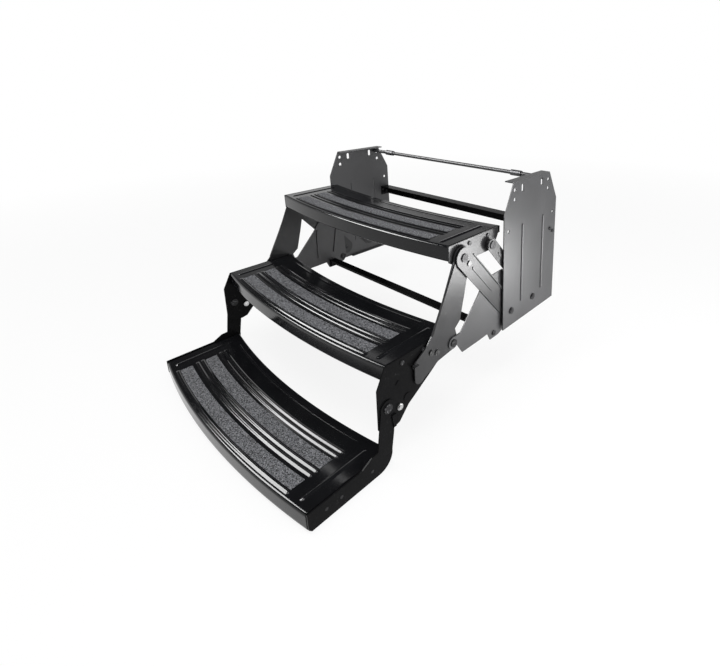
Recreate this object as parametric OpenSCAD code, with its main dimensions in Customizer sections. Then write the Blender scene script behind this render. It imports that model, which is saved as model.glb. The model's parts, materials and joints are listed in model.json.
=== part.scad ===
// Folding three-tread entry step for a camper door, shown swung out for use.
// Origin: middle of the mounting plane, at the front edge of the side plates.
// X runs across the doorway, Y runs back under the floor and Z points up.
// Heights below are given from the lower edge of the side plates.

/* [Housing] */
// Width over the outside of the two side plates
housing_w = 650; // [640:1:700]
// Depth of a side plate from front to back
housing_d = 218; // [214:1:240]
// Height of a side plate
housing_h = 342; // [338:1:370]
// Sheet thickness of the side plates
plate_t = 2.5; // [2:0.1:3]
// Height at which the side plate starts to taper
taper_z = 272; // [262:1:285]
// Set-back of the top edge at the front
taper_front = 33; // [26:1:38]
// Set-back of the top edge at the back
taper_back = 36; // [26:1:45]
// Width of the turned-in top flange
flange_w = 24; // [16:1:30]
// Width of the turned-in bottom flange
foot_w = 12; // [8:1:16]
// Radius of the pressed ribs in the side plate
rib_r = 3; // [2:0.5:4]
// Length of the pressed ribs
rib_len = 188; // [150:1:195]

/* [Frame fixings] */
// Radius of the round holes for the frame bolts
frame_hole_r = 4.5; // [4:0.25:5]
// Distance between the front and back frame holes
frame_hole_y = 139; // [125:1:142]
// Distance between the upper and lower frame holes
frame_hole_z = 21.5; // [20:0.5:30]
// Set-back of the front frame holes
frame_hole_back = 38; // [37:1:42]
// Drop of the upper frame holes below the mounting plane
frame_hole_drop = 17.5; // [15:0.5:20]
// Distance between the two frame slots
slot_pitch = 80; // [70:1:90]
// Length of a frame slot from end to end
slot_len = 18; // [14:1:22]

/* [Treads] */
// Depth of a tread along its centre line
tread_d = 161; // [155:1:166]
// Height of the front apron of a tread
apron_h = 32; // [26:1:34]
// How far the front of a tread bows out in the middle
tread_bow = 24; // [18:1:28]
// Sheet thickness of a tread
tread_t = 2; // [1.5:0.1:2.5]
// Outer radius of the rolled front edge
nose_r = 5; // [4:0.5:7]
// Height of the pressed beads
bead_r = 3; // [2:0.25:3.5]
// Half length of the beads and the grip strips
bead_half = 248; // [230:1:256]
// Thickness of the grip strips
grip_t = 1; // [0.8:0.1:1.5]
// Width of a grip strip
grip_w = 25; // [20:1:25]
// Height between one tread and the next
step_rise = 172; // [168:1:176]
// Depth between one tread and the next
step_run = 167; // [164:1:170]
// Height of the top tread
top_step_z = 248; // [244:1:252]
// Distance of the top tread's front corners ahead of the side plates
top_step_out = 155; // [150:1:158]

/* [Linkage] */
// Thickness of the links and step brackets
link_t = 2.5; // [2:0.1:2.8]
// Side clearance between neighbouring plates
side_gap = 0.4; // [0.3:0.05:0.5]
// Radius of the main pivot bolts
pivot_r = 6; // [5:0.25:6.5]
// Radial running clearance of the pivots
pivot_fit = 0.06; // [0.04:0.01:0.09]
// Distance between the front and rear link pivots
link_pitch = 90; // [86:1:94]
// Half width of the front link
front_link_r = 22; // [20:0.5:22.5]
// Half width of the rear link
rear_link_r = 14; // [12:0.5:16]
// Half width of the ends of the bottom step's arms
arm_end_r = 16; // [14:0.5:17]
// Leg of the angle bars across the step
bar_leg = 22; // [18:1:24]
// Radius of the upper tie rod
rod_r = 5; // [4:0.25:6]

/* [Hidden] */
$fn = 48;
eps = 0.01;
arc_fn = 180;

// Layers of plate from the housing inwards, as distances from the middle
plate_in = housing_w/2 - plate_t;
head_room = 3.5;
link_out = plate_in - head_room;
link_in = link_out - link_t;
arm_out = link_in - side_gap;
arm_in = arm_out - link_t;
hanger_out = arm_in - side_gap;
hanger_in = hanger_out - link_t;
low_out = hanger_in - side_gap;
low_in = low_out - link_t;
bracket_out = low_in - side_gap;
bracket_in = bracket_out - link_t;
face_gap = 0.1;

// Corner where each tread meets its side, as [y, z]
top_corner = [-top_step_out, top_step_z];
mid_corner = top_corner - [step_run, step_rise];
low_corner = mid_corner - [step_run, step_rise];

// Pivots, as [y, z]
front_base = [31, 38];
rear_base = front_base + [link_pitch, 0];
front_top = top_corner + [32, -30];
rear_top = front_top + [link_pitch, 0];
arm_base = [14, 12];
arm_front = mid_corner + [166, -32];
flip_pivot = mid_corner + [-1, -82];
stop_r = 6.5;
stop_point = flip_pivot + [28, -15];
hanger_rivet_points = [mid_corner + [106, -24], mid_corner + [121, -31]];

// The arm's front rivet moves 2.4 mm in its eye as the step folds
arm_rivet_r = 4.5;
arm_eye_r = arm_rivet_r + 3;
head_h = 2.3;
hole_slack = 0.05;

// Tread pattern, as distances behind the front arc
single_beads = [12, 148];
double_beads = [53, 64, 104, 115];
grip_starts = [16.5, 69];
tread_half = bracket_in;
tread_arc_r = (tread_half*tread_half + tread_bow*tread_bow)/(2*tread_bow);
end_flange_h = 17;
low_flange_h = 21;
rear_apron_h = 16;
lip_w = 8;
cross_bead_in = 28;
cross_bead_start = 12;
cross_bead_end = 20;
rivet_r = 3;

// Sheet standing across X, drawn as [y, z], between two distances from the middle
module sheet(x_in, x_out)
    translate([x_in, 0, 0]) rotate([90, 0, 90]) linear_extrude(x_out - x_in) children();

// Round bar along X through the point p
module pin(p, x_in, x_out, r)
    translate([x_in, p[0], p[1]]) rotate([0, 90, 0]) cylinder(h = x_out - x_in, r = r);

module ring(p, x_in, x_out, r_out, r_in)
    difference() {
        pin(p, x_in, x_out, r_out);
        pin(p, x_in - 1, x_out + 1, r_in);
    }

module dot(p, r) translate(p) circle(r);

// A straight bar with round ends, in the plane of a sheet
module slot_shape(a, b, r) {
    d = b - a;
    dot(a, r);
    dot(b, r);
    translate(a) rotate(atan2(d[1], d[0])) translate([0, 0.05 - r]) square([norm(d), 2*r - 0.1]);
}

// A half-round ridge along Y or Z with round ends, standing out of the plane at x
module ridge(a, b, x, r) {
    d = b - a;
    translate([x, a[0], a[1]]) {
        rotate([atan2(d[1], d[0]) - 90, 0, 0]) cylinder(h = norm(d), r = r);
        sphere(r);
        translate([0, d[0], d[1]]) sphere(r);
    }
}

// Moves a node down so that the mounting plane is at zero
module hang() translate([0, 0, -housing_h]) children();

// The left side is the right side mirrored
module left() mirror([1, 0, 0]) children();

module both() {
    children();
    left() children();
}

module side_outline()
    polygon([[0, 0], [housing_d, 0], [housing_d, taper_z], [housing_d - taper_back, housing_h],
        [taper_front, housing_h], [0, taper_z]]);

frame_holes = [for (i = [0, 1], j = [0, 1])
    [frame_hole_back + i*frame_hole_y, housing_h - frame_hole_drop - j*frame_hole_z]];
slot_centres = [for (i = [-1, 1])
    [frame_hole_back + frame_hole_y/2 + i*slot_pitch/2, housing_h - frame_hole_drop]];
crossbar_z = 206;
rear_bar_y = housing_d - 4;
rear_bar_leg = bar_leg + 6;
crossbar_bolt_points = [[rear_bar_y - 9, crossbar_z - 19], [rear_bar_y - 22, crossbar_z - 10]];
small_holes = [[16, 235], [housing_d - 15, 238]];
rod_point = [165, housing_h - 12];
rib_rows = [70, 158];
rib_foot = 50;

module side_plate() {
    slot_half = slot_len/2 - frame_hole_r;
    difference() {
        union() {
            sheet(plate_in, plate_in + plate_t) side_outline();
            translate([plate_in - flange_w + plate_t, taper_front, housing_h - plate_t])
                cube([flange_w, housing_d - taper_front - taper_back, plate_t]);
            translate([plate_in - foot_w + plate_t, rib_rows[0] - 20, 0])
                cube([foot_w, housing_d - rib_rows[0] + 20, plate_t]);
            for (y = rib_rows)
                ridge([y, rib_foot], [y, rib_foot + rib_len], plate_in + plate_t, rib_r);
        }
        for (p = frame_holes) pin(p, plate_in - 1, housing_w/2 + 1, frame_hole_r);
        for (p = small_holes) pin(p, plate_in - 1, housing_w/2 + 1, frame_hole_r - 0.5);
        for (p = slot_centres)
            sheet(plate_in - 1, housing_w/2 + 1)
                slot_shape(p - [0, slot_half], p + [0, slot_half], frame_hole_r);
        for (p = [front_base, rear_base]) pin(p, plate_in - 1, housing_w/2 + 1, pivot_r + hole_slack);
        for (p = crossbar_bolt_points) pin(p, plate_in - 1, housing_w/2 + 1, rivet_r + hole_slack);
        pin(rod_point, plate_in - 1, housing_w/2 + 1, rod_r + hole_slack);
        for (y = rib_rows)
            ridge([y, rib_foot], [y, rib_foot + rib_len], plate_in, rib_r - 1.5);
    }
}

module side_plate_left() color([0.5, 0.5, 0.52]) hang() left() side_plate();
module side_plate_right() color([0.5, 0.5, 0.52]) hang() side_plate();

module upper_tie_rod()
    color([0.1, 0.1, 0.1]) hang() pin(rod_point, -housing_w/2, housing_w/2, rod_r);

sleeve_in = housing_w/2 - 100;
sleeve_len = 30;

module tie_rod_sleeves()
    color([0.55, 0.55, 0.57]) hang() both()
        ring(rod_point, sleeve_in, sleeve_in + sleeve_len, rod_r + 2.5, rod_r + hole_slack);

// Rolled angle bar across the step with its corner at the back and top
module angle_bar(corner, half, leg) {
    translate([-half, corner[0] - leg, corner[1] - link_t]) cube([2*half, leg, link_t]);
    translate([-half, corner[0] - link_t, corner[1] - leg]) cube([2*half, link_t, leg]);
}

module rear_crossbar()
    color([0.12, 0.12, 0.13]) hang() {
        difference() {
            union() {
                angle_bar([rear_bar_y, crossbar_z], plate_in, rear_bar_leg);
                both() translate([plate_in - link_t, rear_bar_y - rear_bar_leg, crossbar_z - rear_bar_leg])
                    cube([link_t, rear_bar_leg, rear_bar_leg]);
            }
            both() for (p = crossbar_bolt_points)
                pin(p, plate_in - link_t - 1, plate_in + 1, rivet_r + hole_slack);
        }
    }

module headed_pin(p, x_in, x_out, r, head_r) {
    pin(p, x_in, x_out, r);
    pin(p, x_out, x_out + head_h, head_r);
}

module crossbar_bolts()
    color([0.3, 0.3, 0.31]) hang() both() for (p = crossbar_bolt_points) {
        headed_pin(p, plate_in - link_t, housing_w/2, rivet_r, rivet_r + 1.5);
        pin(p, plate_in - link_t - head_h, plate_in - link_t, rivet_r + 1.5);
    }

module link_pivot_bolts()
    color([0.3, 0.3, 0.31]) hang() both() for (p = [front_base, rear_base]) {
        headed_pin(p, link_in + face_gap, housing_w/2, pivot_r, pivot_r + 2);
        pin(p, housing_w/2 + head_h, housing_w/2 + head_h + 1.2, pivot_r);
    }

module link_pivot_spacers()
    color([0.62, 0.62, 0.64]) hang() both() for (p = [front_base, rear_base])
        ring(p, link_out + face_gap, plate_in, pivot_r + 4, pivot_r + hole_slack);

module arm_pivot_studs()
    color([0.3, 0.3, 0.31]) hang() both() {
        pin(arm_base, arm_in - 0.2, plate_in, pivot_r);
        pin(arm_base, arm_out + face_gap, plate_in, pivot_r + 1.5);
        pin(arm_base, arm_in - 0.2 - head_h, arm_in - 0.2, pivot_r + 3);
    }

// Links
link_dir = (front_top - front_base)/norm(front_top - front_base);
link_side = [-link_dir[1], link_dir[0]];
rivet_back = 21;
rib_h = 1.4;

module front_link() {
    rib_start = front_top - link_dir*40;
    rib_end = front_top - link_dir*135;
    lip_start = front_top - link_dir*18 - link_side*(front_link_r - link_t/2);
    lip_end = front_base + link_dir*30 - link_side*(front_link_r - link_t/2);
    difference() {
        union() {
            sheet(link_in, link_out) slot_shape(front_base, front_top, front_link_r);
            sheet(link_in, link_out + rib_h) slot_shape(rib_start, rib_end, 3);
            sheet(link_in, link_out + head_h) slot_shape(lip_start, lip_end, link_t/2);
        }
        pin(front_base, link_in - 1, link_out + 1, pivot_r + pivot_fit);
        pin(front_top, link_in - 1, link_out + 1, pivot_r + pivot_fit);
        pin(front_top - link_dir*rivet_back, link_in - 1, link_out + 1, rivet_r + 0.5 + hole_slack);
    }
}

module front_link_left() color([0.6, 0.6, 0.62]) hang() left() front_link();
module front_link_right() color([0.6, 0.6, 0.62]) hang() front_link();

module front_link_rivets()
    color([0.7, 0.7, 0.72]) hang() both()
        headed_pin(front_top - link_dir*rivet_back, link_in, link_out, rivet_r + 0.5, rivet_r + 2.5);

module rear_link()
    difference() {
        union() {
            sheet(link_in, link_out) slot_shape(rear_base, rear_top, rear_link_r);
            sheet(link_in, link_out + rib_h)
                slot_shape(rear_top - link_dir*35, rear_base + link_dir*35, 3);
        }
        pin(rear_base, link_in - 1, link_out + 1, pivot_r + pivot_fit);
        pin(rear_top, link_in - 1, link_out + 1, pivot_r + pivot_fit);
    }

module rear_link_left() color([0.5, 0.5, 0.52]) hang() left() rear_link();
module rear_link_right() color([0.5, 0.5, 0.52]) hang() rear_link();

// Treads
module tread_section() {
    r_out = tread_arc_r;
    r_back = tread_arc_r - tread_d;
    translate([r_back, -tread_t]) square([tread_d - nose_r, tread_t]);
    translate([r_out - tread_t, -apron_h]) square([tread_t, apron_h - nose_r]);
    translate([r_out - lip_w, -apron_h]) square([lip_w, tread_t]);
    translate([r_back, -rear_apron_h]) square([tread_t, rear_apron_h]);
    translate([r_out - nose_r, -nose_r]) difference() {
        intersection() {
            circle(nose_r);
            square(nose_r);
        }
        circle(nose_r - tread_t);
    }
}

// Sweeps a section round the arc of a tread, over a half width
module sweep(half) {
    turn = 2*asin(half/(tread_arc_r - tread_d));
    translate([0, tread_arc_r - tread_bow, 0])
        rotate([0, 0, -90 - turn/2]) rotate_extrude(angle = turn, $fn = arc_fn) children();
}

module bead_section(back)
    translate([tread_arc_r - back, 0]) intersection() {
        circle(bead_r);
        translate([-bead_r, -tread_t]) square([2*bead_r, bead_r + tread_t]);
    }

module tread(corner, flange_h)
    translate([0, corner[0], corner[1]]) {
        intersection() {
            sweep(tread_half + 5) tread_section();
            translate([-tread_half, -2*tread_bow, -2*apron_h])
                cube([2*tread_half, tread_d + 4*tread_bow, 3*apron_h]);
        }
        for (back = concat(single_beads, double_beads))
            intersection() {
                sweep(bead_half + 5) bead_section(back);
                translate([-bead_half, -2*tread_bow, -2*apron_h])
                    cube([2*bead_half, tread_d + 4*tread_bow, 3*apron_h]);
            }
        both() {
            translate([tread_half - tread_t, nose_r, -flange_h])
                cube([tread_t, tread_d - 2*nose_r, flange_h]);
            translate([tread_half - cross_bead_in, cross_bead_start, 0]) rotate([-90, 0, 0]) {
                cylinder(h = tread_d - cross_bead_start - cross_bead_end, r = bead_r);
            }
        }
    }

module grip_strips(corner)
    translate([0, corner[0], corner[1]])
        for (start = grip_starts)
            intersection() {
                sweep(bead_half + 5)
                    translate([tread_arc_r - start - grip_w, 0]) square([grip_w, grip_t]);
                translate([-bead_half + 2, -2*tread_bow, -1])
                    cube([2*bead_half - 4, tread_d + 4*tread_bow, 4]);
            }

// Rivets through a tread's end flange and its bracket, at points given from the tread's corner
upper_rivets = [[60.5, -10], [120, -10]];
middle_rivets = [[38, -10], [90, -10]];
bottom_rivets = [[33, -15], [61, -15], [124, -15]];
shop_head_h = 1.5;
shop_head_r = rivet_r + 1.5;

module tread_rivets(points, x_out)
    both() for (p = points) {
        pin(p, tread_half - tread_t, x_out, rivet_r);
        pin(p, tread_half - tread_t - shop_head_h, tread_half - tread_t, shop_head_r);
    }

module outer_heads(points)
    both() for (p = points) pin(p, bracket_out, bracket_out + head_h, shop_head_r);

module rivet_holes(corner, rivets)
    for (r = rivets)
        pin(corner + r, tread_half - 2*tread_t, low_out + 1, rivet_r + hole_slack);

module tread_with_holes(corner, rivets, flange_h)
    difference() {
        tread(corner, flange_h);
        both() rivet_holes(corner, rivets);
    }

module upper_tread()
    color([0.07, 0.07, 0.08]) hang() tread_with_holes(top_corner, upper_rivets, end_flange_h);
module middle_tread()
    color([0.07, 0.07, 0.08]) hang() tread_with_holes(mid_corner, middle_rivets, end_flange_h);
module bottom_tread()
    color([0.07, 0.07, 0.08]) hang() tread_with_holes(low_corner, bottom_rivets, low_flange_h);
module upper_grip_strips() color([0.4, 0.4, 0.42]) hang() grip_strips(top_corner);
module middle_grip_strips() color([0.4, 0.4, 0.42]) hang() grip_strips(mid_corner);
module bottom_grip_strips() color([0.4, 0.4, 0.42]) hang() grip_strips(low_corner);
module upper_tread_rivets()
    color([0.3, 0.3, 0.3]) hang() {
        tread_rivets([for (r = upper_rivets) top_corner + r], bracket_out);
        outer_heads([for (r = upper_rivets) top_corner + r]);
    }
module middle_tread_rivets()
    color([0.3, 0.3, 0.3]) hang() {
        tread_rivets([for (r = middle_rivets) mid_corner + r], bracket_out);
        outer_heads([for (r = middle_rivets) mid_corner + r]);
    }
// Flush outside, to pass the hangers when the step flips up
module bottom_tread_rivets()
    color([0.3, 0.3, 0.3]) hang() tread_rivets([for (r = bottom_rivets) low_corner + r], low_out);

// Upper bracket
module upper_bracket()
    difference() {
        sheet(bracket_in, bracket_out)
            translate(top_corner) polygon([[0, 0], [tread_d - 6, 0], [tread_d - 6, -18],
                [tread_d - 24, -45], [18, -45], [0, -34]]);
        for (p = [front_top, rear_top])
            pin(p, bracket_in - 1, bracket_out + 1, pivot_r + hole_slack);
        rivet_holes(top_corner, upper_rivets);
    }

module upper_bracket_left() color([0.55, 0.55, 0.57]) hang() left() upper_bracket();
module upper_bracket_right() color([0.55, 0.55, 0.57]) hang() upper_bracket();

module upper_pivot_bolts()
    color([0.3, 0.3, 0.31]) hang() both() for (p = [front_top, rear_top]) {
        pin(p, bracket_in - head_h, bracket_in, pivot_r + 3);
        headed_pin(p, bracket_in, link_out + face_gap, pivot_r, pivot_r + 3);
    }

module upper_pivot_spacers()
    color([0.62, 0.62, 0.64]) hang() both() {
        ring(front_top, bracket_out, hanger_in - face_gap, pivot_r + 4, pivot_r + hole_slack);
        ring(front_top, hanger_out + face_gap, link_in - face_gap, pivot_r + 4, pivot_r + hole_slack);
        ring(rear_top, bracket_out, link_in - face_gap, pivot_r + 4, pivot_r + hole_slack);
    }

// Middle bracket and hanger
dimple_point = mid_corner + [47, -89];
dimple_r = 9;
catch_point = mid_corner + [24.5, -45.5];

// The bottom step's arm rests against a tab bent out of the bracket, whose lip laps over the arm
module stop_tab() {
    sheet(bracket_out - link_t, low_out + side_gap + link_t)
        translate(flip_pivot) polygon([[14, -21], [16.5, -21], [14.6, -42], [12.1, -42]]);
    sheet(low_out + side_gap, low_out + side_gap + link_t)
        translate(flip_pivot) polygon([[6, -19], [16.5, -19], [14.6, -45], [9, -45]]);
}

module middle_bracket()
    difference() {
        union() {
            sheet(bracket_in, bracket_out) translate(mid_corner)
                polygon([[0, 0], [-20, -38], [-22, -117], [-2, -130], [12, -133], [26, -130], [49, -106],
                    [106, -72], [134, -54], [176, -42], [182, -24], [tread_d - 2, 0]]);
            sheet(bracket_in, bracket_out + rib_h) dot(dimple_point, dimple_r);
            sheet(bracket_in, bracket_out + rib_h)
                translate(catch_point) polygon([[-4, -2], [3, 4], [5, 2], [-1, -4]]);
            stop_tab();
        }
        pin(flip_pivot, bracket_in - 1, bracket_out + 1, pivot_r + hole_slack);
        pin(stop_point, bracket_in - 1, bracket_out + 1, rivet_r + 1 + hole_slack);
        for (p = hanger_rivet_points) pin(p, bracket_in - 1, bracket_out + 1, rivet_r + 1 + hole_slack);
        rivet_holes(mid_corner, middle_rivets);
    }

module middle_bracket_left() color([0.2, 0.2, 0.21]) hang() left() middle_bracket();
module middle_bracket_right() color([0.2, 0.2, 0.21]) hang() middle_bracket();

hanger_head_r = 24;
toe = mid_corner + [75, -62];
toe_r = 12;

module hanger_outline() {
    dot(front_top, hanger_head_r);
    dot(arm_front, 15);
    dot(toe, toe_r);
    polygon([front_top + [-hanger_head_r, 2], front_top + [hanger_head_r, -4],
        mid_corner + [203, 58], mid_corner + [189, 8], mid_corner + [174, -4], arm_front + [15, 2],
        arm_front + [3, -15], mid_corner + [124, -52], toe + [9, -8], toe + [-12, 0],
        toe + [-12, 36], mid_corner + [93, -8], mid_corner + [109, 9], mid_corner + [141, 69]]);
}

module hanger()
    difference() {
        union() {
            sheet(hanger_in, hanger_out) hanger_outline();
            sheet(hanger_in, hanger_out + link_t)
                polygon([front_top + [-hanger_head_r, -6], front_top + [-hanger_head_r + 4, -6],
                    mid_corner + [145, 69], mid_corner + [113, 9], mid_corner + [109, 9],
                    mid_corner + [141, 69]]);
            translate([hanger_out - eps, toe[0] - 16, toe[1] + 30]) cube([5, 12, link_t]);
            sheet(hanger_out - eps - link_t, hanger_out)
                translate(toe + [-16, 28]) square([12, 6]);
        }
        pin(front_top, hanger_in - 1, hanger_out + 1, pivot_r + pivot_fit);
        pin(arm_front, hanger_in - 1, hanger_out + 1, arm_eye_r);
        for (p = hanger_rivet_points) pin(p, hanger_in - 1, hanger_out + 1, rivet_r + 1 + hole_slack);
    }

module hanger_left() color([0.45, 0.45, 0.47]) hang() left() hanger();
module hanger_right() color([0.45, 0.45, 0.47]) hang() hanger();

module hanger_rivets()
    color([0.75, 0.75, 0.77]) hang() both() for (p = hanger_rivet_points) {
        pin(p, bracket_in - 2, bracket_in, rivet_r + 3);
        headed_pin(p, bracket_in, hanger_out, rivet_r + 1, rivet_r + 3);
    }

module hanger_spacers()
    color([0.62, 0.62, 0.64]) hang() both() for (p = hanger_rivet_points)
        ring(p, bracket_out, hanger_in, rivet_r + 4, rivet_r + 1 + hole_slack);

module stop_bolts()
    color([0.75, 0.75, 0.77]) hang() both() {
        pin(stop_point, bracket_in - head_h, bracket_in, stop_r);
        headed_pin(stop_point, bracket_in, bracket_out, rivet_r + 1, stop_r);
        pin(stop_point, bracket_out, low_out, stop_r);
        pin(stop_point, low_out, low_out + head_h, stop_r - 2);
    }

module step_pivot_bolts()
    color([0.75, 0.75, 0.77]) hang() both() {
        pin(flip_pivot, bracket_in - head_h, bracket_in, pivot_r + 3);
        headed_pin(flip_pivot, bracket_in, low_out + face_gap, pivot_r, pivot_r + 3);
    }

// Lower arms
arm_rib_h = 3;
bar_corner = [-13, 14];

module lower_arm_outline() {
    dot(arm_front, 13);
    polygon([arm_front + [10, -9], arm_front + [26, -35], [-76, 9], [-45, 10], [-36, -9], [-8, -9],
        [16, -2], [26, 10], [22, 105], [8, 148], [-56, 146], [-78, 118], arm_front + [21, 13],
        arm_front + [1, 12.6]]);
}

module lower_arm()
    difference() {
        union() {
            sheet(arm_in, arm_out) lower_arm_outline();
            sheet(arm_in - arm_rib_h, arm_in + link_t/2) slot_shape([-68, 34], [-66, 116], 4);
            sheet(arm_in - arm_rib_h, arm_in + link_t/2) slot_shape([-14, 40], [2, 120], 5);
        }
        pin(arm_base, arm_in - 1, arm_out + 1, pivot_r + pivot_fit);
        pin(arm_front, arm_in - 1, arm_out + 1, arm_rivet_r + hole_slack);
        pin(bar_corner - [bar_leg/2, bar_leg/2], arm_in - 1, arm_out + 1, rivet_r + 1 + hole_slack);
    }

module lower_arm_left() color([0.5, 0.5, 0.52]) hang() left() lower_arm();
module lower_arm_right() color([0.5, 0.5, 0.52]) hang() lower_arm();

module lower_arm_rivets()
    color([0.75, 0.75, 0.77]) hang() both() {
        headed_pin(arm_front, hanger_in - 0.3, arm_out, arm_rivet_r, arm_rivet_r + 3.5);
        pin(arm_front, hanger_in - 0.3 - 2, hanger_in - 0.3, arm_eye_r + 1.5);
    }

module arm_crossbar()
    color([0.1, 0.1, 0.11]) hang() difference() {
        union() {
            angle_bar(bar_corner, arm_in, bar_leg);
            both() translate([arm_in - link_t, bar_corner[0] - bar_leg, bar_corner[1] - bar_leg])
                cube([link_t, bar_leg, bar_leg]);
        }
        both() pin(bar_corner - [bar_leg/2, bar_leg/2], arm_in - link_t - 1, arm_in + 1,
            rivet_r + 1 + hole_slack);
    }

module arm_crossbar_bolts()
    color([0.3, 0.3, 0.31]) hang() both() {
        p = bar_corner - [bar_leg/2, bar_leg/2];
        headed_pin(p, arm_in - link_t, arm_out, rivet_r + 1, rivet_r + 3);
        pin(p, arm_in - link_t - head_h, arm_in - link_t, rivet_r + 3);
    }

// Bottom bracket, a flat strip along the tread with an arm up to the flip pivot
heel_r = 32;
strip_drop = apron_h + 2;
heel = low_corner + [138, heel_r - strip_drop];

module bottom_bracket_outline()
    polygon([flip_pivot + [-0.97*arm_end_r, 0], flip_pivot + [0.97*arm_end_r, 0],
        heel + [heel_r + 6.6, heel_r + 6], heel + [heel_r, 2], heel + [heel_r, -heel_r]*0.6,
        heel - [2, heel_r], low_corner + [5, -strip_drop], low_corner + [0, 6 - strip_drop],
        low_corner + [0, 2], low_corner + [104, 2], low_corner + [125, 13], low_corner + [139, 14]]);

module bottom_bracket()
    difference() {
        union() {
            sheet(low_in, low_out) dot(flip_pivot, arm_end_r);
            sheet(low_in, low_out) intersection() {
                dot(heel, heel_r);
                translate(heel - [4, heel_r + 1]) square(heel_r + 5);
            }
            sheet(low_in, low_out) bottom_bracket_outline();
        }
        pin(flip_pivot, low_in - 1, low_out + 1, pivot_r + pivot_fit);
        rivet_holes(low_corner, bottom_rivets);
    }

module bottom_bracket_left() color([0.3, 0.3, 0.31]) hang() left() bottom_bracket();
module bottom_bracket_right() color([0.3, 0.3, 0.31]) hang() bottom_bracket();

side_plate_left();
side_plate_right();
upper_tie_rod();
tie_rod_sleeves();
rear_crossbar();
crossbar_bolts();
link_pivot_bolts();
link_pivot_spacers();
arm_pivot_studs();
front_link_left();
front_link_right();
front_link_rivets();
rear_link_left();
rear_link_right();
upper_tread();
upper_bracket_left();
upper_bracket_right();
upper_grip_strips();
upper_tread_rivets();
upper_pivot_bolts();
upper_pivot_spacers();
middle_tread();
middle_bracket_left();
middle_bracket_right();
middle_grip_strips();
middle_tread_rivets();
hanger_left();
hanger_right();
hanger_rivets();
hanger_spacers();
stop_bolts();
step_pivot_bolts();
lower_arm_left();
lower_arm_right();
lower_arm_rivets();
arm_crossbar();
arm_crossbar_bolts();
bottom_tread();
bottom_bracket_left();
bottom_bracket_right();
bottom_grip_strips();
bottom_tread_rivets();
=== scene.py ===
"""Looks of a folding camper entry step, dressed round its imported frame."""

import json
import math
from typing import NamedTuple

import bmesh
import bpy
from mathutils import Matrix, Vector


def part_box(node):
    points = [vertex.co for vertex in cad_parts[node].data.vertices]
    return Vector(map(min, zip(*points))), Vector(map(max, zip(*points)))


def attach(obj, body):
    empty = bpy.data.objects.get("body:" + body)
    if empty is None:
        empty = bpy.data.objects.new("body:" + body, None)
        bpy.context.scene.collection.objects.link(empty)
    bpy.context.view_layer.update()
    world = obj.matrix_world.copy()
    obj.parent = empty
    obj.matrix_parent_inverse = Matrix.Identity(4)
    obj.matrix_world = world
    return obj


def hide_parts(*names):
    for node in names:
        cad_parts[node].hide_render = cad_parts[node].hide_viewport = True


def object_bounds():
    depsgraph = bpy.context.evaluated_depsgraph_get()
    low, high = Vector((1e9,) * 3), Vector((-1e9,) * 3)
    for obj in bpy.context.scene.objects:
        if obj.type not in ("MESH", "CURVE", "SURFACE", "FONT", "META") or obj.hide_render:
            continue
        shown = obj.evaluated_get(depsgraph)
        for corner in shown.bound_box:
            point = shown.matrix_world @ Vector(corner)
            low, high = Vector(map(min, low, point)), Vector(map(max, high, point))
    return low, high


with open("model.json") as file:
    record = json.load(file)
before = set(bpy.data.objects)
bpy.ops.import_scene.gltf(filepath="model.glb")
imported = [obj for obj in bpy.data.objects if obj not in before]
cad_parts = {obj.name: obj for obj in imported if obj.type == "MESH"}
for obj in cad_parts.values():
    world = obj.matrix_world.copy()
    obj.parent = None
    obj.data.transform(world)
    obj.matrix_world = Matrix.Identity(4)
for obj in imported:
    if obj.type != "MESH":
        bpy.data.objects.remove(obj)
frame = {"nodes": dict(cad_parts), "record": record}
CAD_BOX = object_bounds()

bl_info = {
    "name": "Camper Entry Step",
    "version": (1, 0, 0),
    "blender": (4, 5, 0),
    "location": "View3D > Sidebar > Entry Step",
    "description": "Pressed treads, paints, fixings and a studio for a folding camper step",
    "category": "Add Mesh",
}

PANEL_TAB = "Entry Step"
MM = 0.001
WHITE = (1, 1, 1, 1)

# Tread of each step, with the body it swings on
STEPS = {
    "upper": "upper_step",
    "middle": "middle_step",
    "bottom": "bottom_step",
}

# Photograph's framing
IMAGE_W = 720
IMAGE_H = 666
FOCAL_PX = 446.27
CENTRE_PX = (481.82, 201.37)
CAMERA_AT = Vector((0.85596, -0.73381, 0.21916))
CAMERA_LOOK = Vector((0.42461, -0.2, 0.02677))
SENSOR_MM = 36.0
NEAR_CLIP = 20 * MM

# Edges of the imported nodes: sheared ones, and the rounder bends of the bars folded from sheet
FOLDED_BARS = ("rear_crossbar", "arm_crossbar")
SHEARED_ROUND = 0.4 * MM
FOLD_ROUND = 1.4 * MM
ROUND_ROWS = 3
SHARPER_THAN = math.radians(40)

# Depths of the fine relief in the finishes
PEBBLE_DEPTH = 0.05 * MM
ZINC_DEPTH = 0.04 * MM
GRIT_DEPTH = 0.5 * MM
# Stretch that draws a noise out into streaks up and down
DRAWN_DOWN = (1, 1, 0.05)

# Greys of dirt, wear and grit
DUST = (0.12, 0.12, 0.12)
SCUFFED_PAINT = (0.1, 0.1, 0.1)
RUBBED_STEEL = (0.25, 0.25, 0.26)
DARK_GRAIN = (0.02, 0.02, 0.02)
BRIGHT_GRAIN = (0.45, 0.45, 0.46)

# Floor under the object, which fades to plain white between these two distances
FLOOR_SIZE = 60
FLOOR_BELOW = 2 * MM
WHITE_FROM = 0.9
WHITE_AT = 3.0
# Upward share of a view's direction up to which the surroundings are white, and from which they are dim
HORIZON_TOP = 0.24
CEILING_FROM = 0.44


class SoftPanel(NamedTuple):
    """Where a lamp stands, what it faces and how large it is, in metres."""

    place: tuple
    aim: tuple
    size: tuple
    mirrored_only: bool = False


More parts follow.
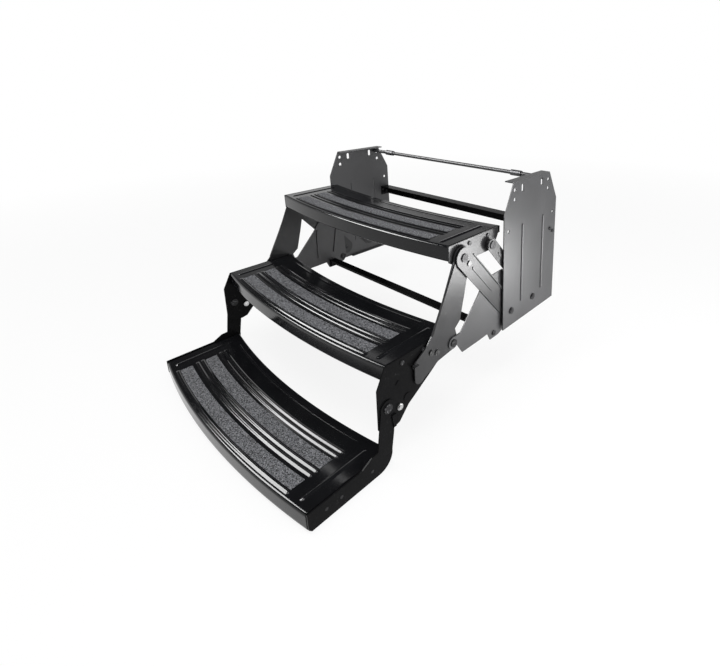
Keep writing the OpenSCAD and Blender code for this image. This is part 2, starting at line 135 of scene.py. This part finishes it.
# Lamps of the studio, each with the stage setting that holds its power
PANELS = {
    "key_power": SoftPanel(place=(0.3, -0.7, 1.9), aim=(0, -0.2, -0.2), size=(1.8, 1.0)),
    "side_power": SoftPanel(place=(1.9, 0.1, 0.1), aim=(0.32, 0.0, -0.2), size=(1.2, 0.9)),
    "streak_power": SoftPanel(
        place=(-1.2, -0.95, 1.1), aim=(0.1, -0.35, -0.35), size=(1.2, 0.75), mirrored_only=True),
    "low_power": SoftPanel(
        place=(0.8, 0.19, -0.35), aim=(0.32, -0.1, -0.2), size=(0.5, 0.2), mirrored_only=True),
}


class Value:
    """A node socket that takes part in Python sums, each of which adds a Math node."""

    def __init__(self, tree, socket):
        self.tree = tree
        self.socket = socket

    def _math(self, operation, first, second):
        node = self.tree.nodes.new("ShaderNodeMath")
        node.operation = operation
        for slot, value in zip(node.inputs, (first, second)):
            if isinstance(value, Value):
                self.tree.links.new(value.socket, slot)
            else:
                slot.default_value = value
        return Value(self.tree, node.outputs[0])

    def __add__(self, other):
        return self._math("ADD", self, other)

    def __sub__(self, other):
        return self._math("SUBTRACT", self, other)

    def __rsub__(self, other):
        return self._math("SUBTRACT", other, self)

    def __mul__(self, other):
        return self._math("MULTIPLY", self, other)

    def __truediv__(self, other):
        return self._math("DIVIDE", self, other)

    def clamp(self):
        return self._math("MINIMUM", self._math("MAXIMUM", self, 0.0), 1.0)

    def step(self, low, high):
        """0 below low, 1 above high and a straight ramp between."""
        return ((self - low) / (high - low)).clamp()

    __radd__ = __add__
    __rmul__ = __mul__


class Nodes:
    """A node tree, with short calls for the nodes it needs."""

    def __init__(self, tree):
        self.tree = tree

    def node(self, kind, settings=None, sockets=None, out=0):
        """Adds a node of this type, sets it up and gives one of its outputs, if it has any."""
        made = self.tree.nodes.new(kind)
        for key, value in (settings or {}).items():
            if key == "stops":
                fill_ramp(made.color_ramp, value)
            else:
                setattr(made, key, value)
        for key, value in (sockets or {}).items():
            if isinstance(value, Value):
                self.tree.links.new(value.socket, made.inputs[key])
            else:
                made.inputs[key].default_value = value
        return Value(self.tree, made.outputs[out]) if made.outputs else None

    def place(self):
        """The object's own coordinates, in metres."""
        return self.node("ShaderNodeTexCoord", out=3)

    def noise(self, size, detail=2.0, roughness=0.5, stretch=None):
        """Noise whose blotches are about this size in metres."""
        where = self.place()
        if stretch:
            where = self.node("ShaderNodeMapping", sockets={"Vector": where, "Scale": stretch})
        return self.node(
            "ShaderNodeTexNoise",
            sockets={"Vector": where, "Scale": 1 / size, "Detail": detail, "Roughness": roughness},
        )

    def speck(self, size):
        """Distance to the nearest of a scatter of points about this far apart."""
        return self.node("ShaderNodeTexVoronoi", sockets={"Vector": self.place(), "Scale": 1 / size})

    def mix(self, factor, low, high):
        """A colour between two, each a Value or three numbers."""
        low, high = (c if isinstance(c, Value) else (*c, 1) for c in (low, high))
        return self.node("ShaderNodeMix", {"data_type": "RGBA"}, {0: factor, 6: low, 7: high}, out=2)

    def light_path(self, question):
        return self.node("ShaderNodeLightPath", out=question)

    def seen_directly(self):
        """1 for a ray from the camera, a mirror or glass, and 0 for one that only carries light."""
        seen = self.light_path("Is Camera Ray") + self.light_path("Is Glossy Ray")
        return (seen + self.light_path("Is Transmission Ray")).clamp()

    def end(self, kind, surface):
        """Links the surface to the tree's output node, which is added if the tree has none."""
        present = next((n for n in self.tree.nodes if n.bl_idname == kind), None)
        if present:
            self.tree.links.new(surface.socket, present.inputs["Surface"])
        else:
            self.node(kind, sockets={"Surface": surface})


class Shader(Nodes):
    """One material, with its surface."""

    def __init__(self, name):
        self.material = bpy.data.materials.new(name)
        self.material.use_nodes = True
        super().__init__(self.material.node_tree)
        self.bsdf = next(n for n in self.tree.nodes if n.type == "BSDF_PRINCIPLED")

    def bump(self, height, depth, strength=1.0):
        return self.node(
            "ShaderNodeBump", sockets={"Height": height, "Distance": depth, "Strength": strength})

    def set(self, **sockets):
        """Sets or links the surface's own sockets, with _ for a space."""
        for key, value in sockets.items():
            slot = self.bsdf.inputs[key.replace("_", " ")]
            if isinstance(value, Value):
                self.tree.links.new(value.socket, slot)
            else:
                slot.default_value = value


def fill_ramp(ramp, stops):
    """Puts (place, grey) stops on a colour ramp."""
    while len(ramp.elements) < len(stops):
        ramp.elements.new(0.5)
    for element, (place, grey) in zip(ramp.elements, stops):
        element.position = place
        element.color = (grey, grey, grey, 1)


def toned(colour, share):
    """A colour made darker or lighter by this share."""
    return tuple(part * share for part in colour)


class PaintSettings(bpy.types.PropertyGroup):
    """Colours of the paints and the grit, and the ripple of the gloss paint."""

    tread_colour: bpy.props.FloatVectorProperty(
        name="Tread colour", description="Gloss black of the treads", subtype="COLOR",
        default=(0.005, 0.0052, 0.006), min=0, max=1)
    plate_colour: bpy.props.FloatVectorProperty(
        name="Plate colour", description="Satin black of the side plates and lower arms", subtype="COLOR",
        default=(0.03, 0.03, 0.032), min=0, max=1)
    link_colour: bpy.props.FloatVectorProperty(
        name="Link colour", description="Semi-gloss black of the links", subtype="COLOR",
        default=(0.017, 0.017, 0.018), min=0, max=1)
    grit_colour: bpy.props.FloatVectorProperty(
        name="Grit colour", description="Middle grey of the grip strips", subtype="COLOR",
        default=(0.125, 0.128, 0.138), min=0, max=1)
    peel: bpy.props.FloatProperty(
        name="Orange peel", description="Height of the ripple in the paint", unit="LENGTH",
        default=0.003 * MM, min=0, max=0.5 * MM)


class TreadSettings(bpy.types.PropertyGroup):
    """Sizes of the pressed treads."""

    bow: bpy.props.FloatProperty(
        name="Bow", description="How far the front bows out in the middle",
        unit="LENGTH", default=24 * MM)
    sheet: bpy.props.FloatProperty(
        name="Sheet", description="Thickness of the pressed sheet",
        unit="LENGTH", default=1.8 * MM)
    nose: bpy.props.FloatProperty(
        name="Nose", description="Radius of the rolled front edge",
        unit="LENGTH", default=5 * MM)
    bead_height: bpy.props.FloatProperty(
        name="Bead height", description="Height of the pressed beads",
        unit="LENGTH", default=1.8 * MM)
    bead_half_width: bpy.props.FloatProperty(
        name="Bead half width", description="Half the width of a bead",
        unit="LENGTH", default=4.8 * MM)
    bead_half_length: bpy.props.FloatProperty(
        name="Bead half length", description="Half the length of a bead",
        unit="LENGTH", default=250 * MM)
    rear_drop: bpy.props.FloatProperty(
        name="Rear drop", description="Depth of the rear edge's flange",
        unit="LENGTH", default=16 * MM)
    hem: bpy.props.FloatProperty(
        name="Hem", description="Width of the turned-in hem of the apron",
        unit="LENGTH", default=8 * MM)
    end_drop: bpy.props.FloatProperty(
        name="End drop", description="Depth of the end flanges",
        unit="LENGTH", default=17 * MM)
    bottom_end_drop: bpy.props.FloatProperty(
        name="Bottom end drop", description="Depth of the bottom tread's end flanges",
        unit="LENGTH", default=21 * MM)


class StageSettings(bpy.types.PropertyGroup):
    """Light and floor of the studio."""

    key_power: bpy.props.FloatProperty(
        name="Key light", description="Power of the soft light overhead",
        subtype="POWER", default=34.0)
    side_power: bpy.props.FloatProperty(
        name="Side light", description="Power of the large light at the right",
        subtype="POWER", default=26.0)
    streak_power: bpy.props.FloatProperty(
        name="Streak light", description="Power of the panel that the glossy beads mirror",
        subtype="POWER", default=75.0)
    low_power: bpy.props.FloatProperty(
        name="Low light", description="Power of the panel beside the right hanger, seen in gloss alone",
        subtype="POWER", default=6.0)
    floor_grey: bpy.props.FloatProperty(
        name="Floor grey", description="Brightness of the pale floor", default=0.9, min=0, max=1)
    floor_white: bpy.props.FloatProperty(
        name="Floor white", description="Share of plain white in the floor as it is seen",
        subtype="FACTOR", default=0.86, min=0, max=1)
    sky: bpy.props.FloatProperty(
        name="Surrounding light", description="Strength of the pale surroundings", default=0.4, min=0)
    ceiling: bpy.props.FloatProperty(
        name="Ceiling", description="Brightness of the dim ceiling in reflections",
        default=0.05, min=0, max=1)


def settings():
    return bpy.context.scene.entry_step


def gloss_black():
    """Thick gloss paint over pressed steel, with a faint ripple and some dust."""
    paint = settings().paint
    made = Shader("gloss_black_paint")
    cloud = made.noise(60 * MM, detail=3)
    fine = made.noise(4 * MM)
    dust = made.noise(0.9 * MM, detail=1).step(0.66, 0.74) * made.noise(50 * MM).step(0.5, 0.7)
    colour = made.mix(cloud.step(0.35, 0.7) * 0.5, paint.tread_colour, toned(paint.tread_colour, 1.7))
    colour = made.mix(dust * 0.35, colour, DUST)
    ripple = made.bump(fine + cloud * 3, paint.peel)
    made.set(Base_Color=colour, Roughness=0.08 + cloud * 0.06 + fine * 0.03 + dust * 0.2,
             Normal=ripple, IOR=1.33)
    return made.material


def satin_plate():
    """Powder coat of the side plates and lower arms, with a fine pebble and drawn streaks under it."""
    coat = settings().paint.plate_colour
    made = Shader("satin_plate_paint")
    pebble = made.noise(1.2 * MM)
    cloud = made.noise(90 * MM, detail=3)
    streak = made.noise(10 * MM, stretch=DRAWN_DOWN)
    colour = made.mix(cloud.step(0.3, 0.7), toned(coat, 0.85), toned(coat, 1.25))
    made.set(Base_Color=colour, Roughness=0.3 + cloud * 0.12 + streak * 0.06,
             Normal=made.bump(pebble + streak * 0.6, PEBBLE_DEPTH), IOR=1.5)
    return made.material


def semi_gloss(name, tone, sheen, index):
    """Semi-gloss black of the links, hangers, brackets and bars, with a few scuffs; a tone below 1 makes
    a darker copy that carries painted shade.
    """
    coat = toned(settings().paint.link_colour, tone)
    made = Shader(name)
    cloud = made.noise(35 * MM, detail=4)
    pebble = made.noise(1.4 * MM)
    scuff = made.noise(12 * MM, detail=6, roughness=0.7).step(0.6, 0.68)
    scuff = scuff * made.noise(50 * MM).step(0.52, 0.66)
    colour = made.mix(cloud, toned(coat, 0.8), toned(coat, 1.3))
    colour = made.mix(scuff * 0.4, colour, SCUFFED_PAINT)
    made.set(Base_Color=colour, Roughness=sheen + cloud * 0.12 + scuff * 0.15,
             Normal=made.bump(pebble, PEBBLE_DEPTH), IOR=index)
    return made.material


def grit_strip():
    """Mineral grit bonded to a strip: dark, middle and a few bright grains."""
    grit = settings().paint.grit_colour
    made = Shader("grit_strip")
    grain = made.speck(1.4 * MM)
    tint = made.noise(2.9 * MM, roughness=0.6)
    cloud = made.noise(20 * MM)
    colour = made.mix(tint.step(0.38, 0.62), toned(grit, 0.18), toned(grit, 1.9))
    colour = made.mix(grain.step(0.0, 0.7) * 0.4, colour, DARK_GRAIN)
    sparkle = made.noise(1.8 * MM, detail=0).step(0.68, 0.74)
    colour = made.mix(sparkle * 0.7, colour, BRIGHT_GRAIN)
    made.set(Base_Color=colour, Roughness=0.62 + cloud * 0.2 - sparkle * 0.3,
             Normal=made.bump((1 - grain) + tint, GRIT_DEPTH, 0.8), IOR=1.2)
    return made.material


def zinc(name, low, high):
    """Zinc plate on rivets and bolts, with a soft spangle between two greys."""
    made = Shader(name)
    spangle = made.noise(4 * MM, detail=3)
    colour = made.mix(spangle.step(0.3, 0.7), (low,) * 3, (high,) * 3)
    made.set(Base_Color=colour, Metallic=1.0, Roughness=0.22 + spangle * 0.2,
             Normal=made.bump(made.noise(1.5 * MM), ZINC_DEPTH))
    return made.material


def dull_zinc():
    """Dull zinc of the spacers and sleeves."""
    made = Shader("dull_zinc")
    cloud = made.noise(8 * MM, detail=4)
    colour = made.mix(cloud, (0.05, 0.05, 0.052), (0.13, 0.13, 0.134))
    made.set(Base_Color=colour, Metallic=1.0, Roughness=0.35 + cloud * 0.2,
             Normal=made.bump(made.noise(2 * MM), ZINC_DEPTH))
    return made.material


def painted_fixing():
    """Bolt heads painted over with the frame, rubbed to steel here and there."""
    made = Shader("painted_fixing")
    cloud = made.noise(6 * MM, detail=4)
    rub = made.noise(3 * MM, detail=4).step(0.58, 0.66)
    colour = made.mix(cloud, (0.009, 0.009, 0.01), (0.02, 0.02, 0.021))
    colour = made.mix(rub * 0.5, colour, RUBBED_STEEL)
    made.set(Base_Color=colour, Metallic=rub * 0.5, Roughness=0.25 + cloud * 0.15,
             Normal=made.bump(made.noise(1.5 * MM), PEBBLE_DEPTH), IOR=1.25)
    return made.material


FINISHES = {
    "tread_paint": gloss_black,
    "frame_paint": satin_plate,
    "linkage_paint": lambda: semi_gloss("semi_gloss_links", tone=1.0, sheen=0.24, index=1.4),
    # The brackets and bars take the links' semi-gloss black at a third of its tone and a low IOR: painted
    # shade, standing in for the dimmer light and reflections these lower parts sit in, not a paint of
    # their own
    "bracket_paint": lambda: semi_gloss("semi_gloss_brackets", tone=0.3, sheen=0.2, index=1.11),
    "grit_strip": grit_strip,
    "zinc_fixings": lambda: zinc("dark_zinc", low=0.035, high=0.11),
    "bright_zinc": lambda: zinc("bright_zinc", low=0.3, high=0.6),
    "spacer_steel": dull_zinc,
    "dark_fixings": painted_fixing,
}
# Nodes whose finish differs from the rest of their slot
NODE_FINISHES = {
    "stop_bolts": "bright_zinc",
    "step_pivot_bolts": "dark_fixings",
    "upper_pivot_bolts": "dark_fixings",
    "lower_arm_rivets": "dark_fixings",
    "upper_tie_rod": "frame_paint",
}
made_finishes = {}


def finish_for(name):
    """The one material of this finish, made when it is first asked for."""
    if name not in made_finishes:
        made_finishes[name] = FINISHES[name]()
    return made_finishes[name]


def paint_nodes(slots):
    """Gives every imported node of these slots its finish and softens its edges."""
    for part in frame["record"]["subparts"]:
        if part["material_slot"] not in slots:
            continue
        node = frame["nodes"][part["node"]]
        node.data.materials.clear()
        node.data.materials.append(finish_for(NODE_FINISHES.get(part["node"], part["material_slot"])))
        round_edges(node, FOLD_ROUND if part["node"] in FOLDED_BARS else SHEARED_ROUND)


def round_edges(node, width):
    soft = node.modifiers.new("Soft edges", "BEVEL")
    soft.width = width
    soft.segments = ROUND_ROWS
    soft.limit_method = "ANGLE"
    soft.angle_limit = SHARPER_THAN
    soft.harden_normals = True


def smooth_bump(distance, half_width):
    """A raised-cosine hump, 1 in the middle and 0 beyond half_width."""
    if abs(distance) >= half_width:
        return 0.0
    return (1 + math.cos(math.pi * distance / half_width)) / 2


def fade(amount):
    """A smooth 0 to 1 as amount goes from 0 to 1."""
    amount = max(0.0, min(1.0, amount))
    return amount * amount * (3 - 2 * amount)


def quarter_turns(rows):
    """Angles of a quarter round in this many rows, without its start."""
    return [math.pi / 2 * i / rows for i in range(1, rows + 1)]


class PressedTread:
    """Height and outline of one pressed tread, measured back from its bowed front."""

    # Long beads, by the distance of their middles behind the front
    BEADS = (12 * MM, 53 * MM, 64 * MM, 104 * MM, 115 * MM)
    BEADS_PAST = 2 * MM
    BEADS_FADE = 6 * MM
    # Rear bead, with its height and width as shares of the others'
    REAR_BEAD = 148 * MM
    REAR_BEAD_HEIGHT = 0.35
    REAR_BEAD_WIDTH = 0.7
    # Bead across each end
    CROSS_BEAD_IN = 28 * MM
    CROSS_FROM = 12 * MM
    CROSS_TO = 141 * MM
    CROSS_FADE = 5 * MM
    # Height of the beads on the solid that this tread replaces
    SOLID_BEAD = 3 * MM
    # Corner where the apron turns into its hem, as (back, height above the apron's foot)
    HEM_CORNER = ((1.5 * MM, 0.3 * MM), (0.3 * MM, 1.2 * MM), (0.0, 3 * MM))
    # Rounds of the end and rear edges
    END_ROUND = 2 * MM
    REAR_ROUND = 2 * MM
    # The end flanges stop this far short of the rear edge
    FLANGE_SHORT = 4 * MM
    # Rows of faces from the apron to the rear edge
    APRON_ROWS = 8
    NOSE_ROWS = 9
    REAR_ROWS = 4
    ROW_DEPTH = 1.15 * MM
    # Columns of faces from the middle out, and their width past the beads' ends
    MIDDLE_COLUMNS = 70
    END_COLUMN_WIDTH = 1.25 * MM

    def __init__(self, node, sizes):
        low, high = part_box(node)
        self.end_drop = sizes.bottom_end_drop if node == "bottom_tread" else sizes.end_drop
        self.sizes = sizes
        self.half = high.x
        self.top = high.z - self.SOLID_BEAD
        self.front = low.y + sizes.bow
        self.depth = high.y - self.front
        self.apron = self.top - low.z
        self.arc = (self.half ** 2 + sizes.bow ** 2) / (2 * sizes.bow)
        self.arc_centre = self.front - sizes.bow + self.arc

    def relief(self, x, back):
        """How far the pressing stands above the flat at this place."""
        s = self.sizes
        across = fade((s.bead_half_length + self.BEADS_PAST - abs(x)) / self.BEADS_FADE)
        beads = sum(smooth_bump(back - b, s.bead_half_width) for b in self.BEADS)
        rear = smooth_bump(back - self.REAR_BEAD, s.bead_half_width * self.REAR_BEAD_WIDTH)
        from_front = fade((back - self.CROSS_FROM) / self.CROSS_FADE)
        from_back = fade((self.CROSS_TO - back) / self.CROSS_FADE)
        cross = smooth_bump(abs(x) - (self.half - self.CROSS_BEAD_IN), s.bead_half_width)
        return s.bead_height * max(across * (beads + self.REAR_BEAD_HEIGHT * rear),
                                   cross * from_front * from_back)

    def path(self):
        """(back, height) along the sheet from the apron's hem over the top to the rear flange."""
        s = self.sizes
        points = [(s.hem, -self.apron + self.HEM_CORNER[0][1])]
        points += [(back, -self.apron + height) for back, height in self.HEM_CORNER]
        apron_foot = points[-1][1]
        rise = -s.nose - apron_foot
        points += [(0.0, apron_foot + rise * i / self.APRON_ROWS) for i in range(1, self.APRON_ROWS + 1)]
        points += [(s.nose * (1 - math.cos(turn)), -s.nose * (1 - math.sin(turn)))
                   for turn in quarter_turns(self.NOSE_ROWS)]
        flat_end = self.depth - self.REAR_ROUND
        flat = flat_end - s.nose
        rows = int(flat / self.ROW_DEPTH)
        points += [(s.nose + flat * i / rows, 0.0) for i in range(1, rows + 1)]
        points += [(flat_end + self.REAR_ROUND * math.sin(turn), -self.REAR_ROUND * (1 - math.cos(turn)))
                   for turn in quarter_turns(self.REAR_ROWS)]
        points.append((self.depth, -s.rear_drop))
        return points

    def columns(self):
        """Places across the tread, close together where the beads end."""
        dense_from = self.sizes.bead_half_length - self.BEADS_FADE
        dense_width = self.half - dense_from
        count = int(dense_width / self.END_COLUMN_WIDTH)
        positive = [dense_from * i / self.MIDDLE_COLUMNS for i in range(self.MIDDLE_COLUMNS + 1)]
        positive += [dense_from + dense_width * i / count for i in range(1, count + 1)]
        return [-x for x in reversed(positive[1:])] + positive

    def point(self, x, back, height):
        """Where a place on the path lies at this distance across."""
        radius = self.arc - back
        y = self.arc_centre - math.sqrt(radius ** 2 - x ** 2)
        on_top = fade(back / self.sizes.nose) if height > -self.sizes.nose else 0.0
        if back > self.depth - self.REAR_ROUND:
            on_top = fade((self.depth - back) / self.REAR_ROUND)
        over = max(0.0, abs(x) - (self.half - self.END_ROUND))
        turned = self.END_ROUND - math.sqrt(max(0.0, self.END_ROUND ** 2 - over ** 2))
        return Vector((x, y, self.top + height + (self.relief(x, back) - turned) * on_top))

    def flanged(self, back, height):
        """Whether the end flanges hang from this place on the path."""
        return height == 0.0 and self.sizes.nose < back < self.depth - self.FLANGE_SHORT


def pressed_sheet(press):
    """The tread's outer face, with a flange down from each end."""
    path = press.path()
    columns = press.columns()
    mesh = bmesh.new()
    grid = [[mesh.verts.new(press.point(x, back, height)) for x in columns] for back, height in path]
    for lower, upper in zip(grid, grid[1:]):
        for i in range(len(columns) - 1):
            mesh.faces.new((lower[i], lower[i + 1], upper[i + 1], upper[i]))
    rows = [row for row, place in zip(grid, path) if press.flanged(*place)]
    down = Vector((0, 0, press.end_drop - press.END_ROUND))
    for side in (0, -1):
        edge = [row[side] for row in rows]
        foot = [mesh.verts.new(vert.co - down) for vert in edge]
        for i in range(len(edge) - 1):
            quad = [edge[i], edge[i + 1], foot[i + 1], foot[i]]
            mesh.faces.new(quad if side == 0 else quad[::-1])
    bmesh.ops.recalc_face_normals(mesh, faces=mesh.faces)
    return mesh


def build_tread(name, node, body):
    """One pressed tread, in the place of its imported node."""
    sizes = settings().tread
    data = bpy.data.meshes.new(name)
    mesh = pressed_sheet(PressedTread(node, sizes))
    mesh.to_mesh(data)
    mesh.free()
    if data.polygons[len(data.polygons) // 2].normal.z < 0:
        data.flip_normals()
    for face in data.polygons:
        face.use_smooth = True
    data.materials.append(finish_for("tread_paint"))
    tread = bpy.data.objects.new(name, data)
    bpy.context.scene.collection.objects.link(tread)
    wall = tread.modifiers.new("Sheet", "SOLIDIFY")
    wall.thickness = sizes.sheet
    wall.offset = -1
    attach(tread, body)
    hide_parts(node)


class STEP_OT_treads(bpy.types.Operator):
    """Presses the three bowed treads"""

    bl_idname = "entry_step.treads"
    bl_label = "Treads"

    def execute(self, context):
        for step, body in STEPS.items():
            build_tread(f"pressed_tread_{step}", f"{step}_tread", body)
        return {"FINISHED"}


class STEP_OT_grips(bpy.types.Operator):
    """Lays grit on the grip strips"""

    bl_idname = "entry_step.grips"
    bl_label = "Grip strips"

    def execute(self, context):
        paint_nodes({"grit_strip"})
        return {"FINISHED"}


class STEP_OT_housing(bpy.types.Operator):
    """Coats the side plates and the lower arms"""

    bl_idname = "entry_step.housing"
    bl_label = "Side plates"

    def execute(self, context):
        paint_nodes({"frame_paint"})
        return {"FINISHED"}


class STEP_OT_linkage(bpy.types.Operator):
    """Paints the links, hangers, brackets and bars"""

    bl_idname = "entry_step.linkage"
    bl_label = "Linkage"

    def execute(self, context):
        paint_nodes({"linkage_paint", "bracket_paint"})
        return {"FINISHED"}


class STEP_OT_fixings(bpy.types.Operator):
    """Plates the rivets, bolts and spacers"""

    bl_idname = "entry_step.fixings"
    bl_label = "Fixings"

    def execute(self, context):
        paint_nodes({"zinc_fixings", "spacer_steel", "dark_fixings"})
        return {"FINISHED"}


def pale_floor(stage):
    """A wide floor at the object's foot, near white where it is seen, that keeps the object's shadow."""
    foot = CAD_BOX[0].z - FLOOR_BELOW
    bpy.ops.mesh.primitive_plane_add(size=FLOOR_SIZE, location=(0, 0, foot))
    floor = bpy.context.object
    floor.name = "studio_floor"
    made = Shader("studio_floor")
    made.set(Base_Color=(*(stage.floor_grey,) * 3, 1), Roughness=0.8)
    glow = made.node("ShaderNodeEmission", sockets={"Color": WHITE, "Strength": 1.0})
    out_from_middle = made.node("ShaderNodeVectorMath", {"operation": "LENGTH"}, {0: made.place()}, out=1)
    white = stage.floor_white + out_from_middle.step(WHITE_FROM, WHITE_AT) * (1 - stage.floor_white)
    lit = Value(made.tree, made.bsdf.outputs[0])
    mixed = made.node("ShaderNodeMixShader", sockets={0: made.seen_directly() * white, 1: lit, 2: glow})
    made.end("ShaderNodeOutputMaterial", mixed)
    floor.data.materials.append(made.material)


def pale_world(stage):
    """White round the horizon where it is seen, with a dim ceiling, and plain light on the object."""
    world = bpy.data.worlds.new("Studio")
    bpy.context.scene.world = world
    world.use_nodes = True
    world.node_tree.nodes.clear()
    made = Nodes(world.node_tree)
    upward = made.node("ShaderNodeSeparateXYZ", sockets={0: made.node("ShaderNodeTexCoord")}, out=2)
    stops = [(0.0, 1.0), (HORIZON_TOP, 1.0), (CEILING_FROM, stage.ceiling), (1.0, stage.ceiling)]
    tone = made.node("ShaderNodeValToRGB", {"stops": stops}, {0: upward})
    seen = made.node("ShaderNodeBackground", sockets={"Color": tone, "Strength": 1.0})
    light = made.node("ShaderNodeBackground", sockets={"Color": WHITE, "Strength": stage.sky})
    mixed = made.node("ShaderNodeMixShader", sockets={0: made.seen_directly(), 1: light, 2: seen})
    made.end("ShaderNodeOutputWorld", mixed)


def put(name, data, place, aim):
    """Stands a lamp or a camera at a place, turned to what it faces."""
    holder = bpy.data.objects.new(name, data)
    bpy.context.scene.collection.objects.link(holder)
    holder.location = place
    holder.rotation_euler = (Vector(aim) - Vector(place)).to_track_quat("-Z", "Y").to_euler()
    return holder


def soft_light(name, panel, power):
    """A panel of light, out of the picture itself. Mirrored only, it adds a highlight and no light."""
    lamp = bpy.data.lights.new(name, "AREA")
    lamp.shape = "RECTANGLE"
    lamp.size, lamp.size_y = panel.size
    lamp.energy = power
    holder = put(name, lamp, panel.place, panel.aim)
    holder.visible_camera = False
    holder.visible_diffuse = not panel.mirrored_only


def photo_camera():
    """The photograph's own viewpoint and framing."""
    lens = bpy.data.cameras.new("Photo")
    lens.sensor_width = SENSOR_MM
    lens.lens = SENSOR_MM * FOCAL_PX / IMAGE_W
    lens.shift_x = (IMAGE_W / 2 - CENTRE_PX[0]) / IMAGE_W
    lens.shift_y = (CENTRE_PX[1] - IMAGE_H / 2) / IMAGE_W
    lens.clip_start = NEAR_CLIP
    bpy.context.scene.camera = put("Photo", lens, CAMERA_AT, CAMERA_LOOK)


class STEP_OT_stage(bpy.types.Operator):
    """Sets the floor, the lights and the camera"""

    bl_idname = "entry_step.stage"
    bl_label = "Studio"

    def execute(self, context):
        stage = settings().stage
        pale_floor(stage)
        pale_world(stage)
        for power, panel in PANELS.items():
            soft_light(power.removesuffix("_power").capitalize(), panel, getattr(stage, power))
        photo_camera()
        context.scene.view_settings.view_transform = "Standard"
        return {"FINISHED"}


class EntryStepSettings(bpy.types.PropertyGroup):
    """Everything a user may change, grouped by piece."""

    paint: bpy.props.PointerProperty(type=PaintSettings, name="Paint", description="Paints")
    tread: bpy.props.PointerProperty(type=TreadSettings, name="Tread", description="Treads")
    stage: bpy.props.PointerProperty(type=StageSettings, name="Studio", description="Studio")


OPERATORS = (
    STEP_OT_treads,
    STEP_OT_grips,
    STEP_OT_housing,
    STEP_OT_linkage,
    STEP_OT_fixings,
    STEP_OT_stage,
)


class STEP_PT_panel(bpy.types.Panel):
    """Lists the pieces of the entry step"""

    bl_label = "Entry Step"
    bl_idname = "STEP_PT_panel"
    bl_space_type = "VIEW_3D"
    bl_region_type = "UI"
    bl_category = PANEL_TAB

    def draw(self, context):
        for operator in OPERATORS:
            self.layout.operator(operator.bl_idname)
        for group in (settings().paint, settings().tread, settings().stage):
            box = self.layout.box()
            for key in group.__annotations__:
                box.prop(group, key)


CLASSES = (
    PaintSettings,
    TreadSettings,
    StageSettings,
    EntryStepSettings,
    *OPERATORS,
    STEP_PT_panel,
)


def register():
    for entry in CLASSES:
        bpy.utils.register_class(entry)
    bpy.types.Scene.entry_step = bpy.props.PointerProperty(type=EntryStepSettings)


def unregister():
    del bpy.types.Scene.entry_step
    for entry in reversed(CLASSES):
        bpy.utils.unregister_class(entry)


def main():
    register()
    bpy.ops.entry_step.treads()
    bpy.ops.entry_step.grips()
    bpy.ops.entry_step.housing()
    bpy.ops.entry_step.linkage()
    bpy.ops.entry_step.fixings()
    bpy.ops.entry_step.stage()


if __name__ == "__main__":
    main()
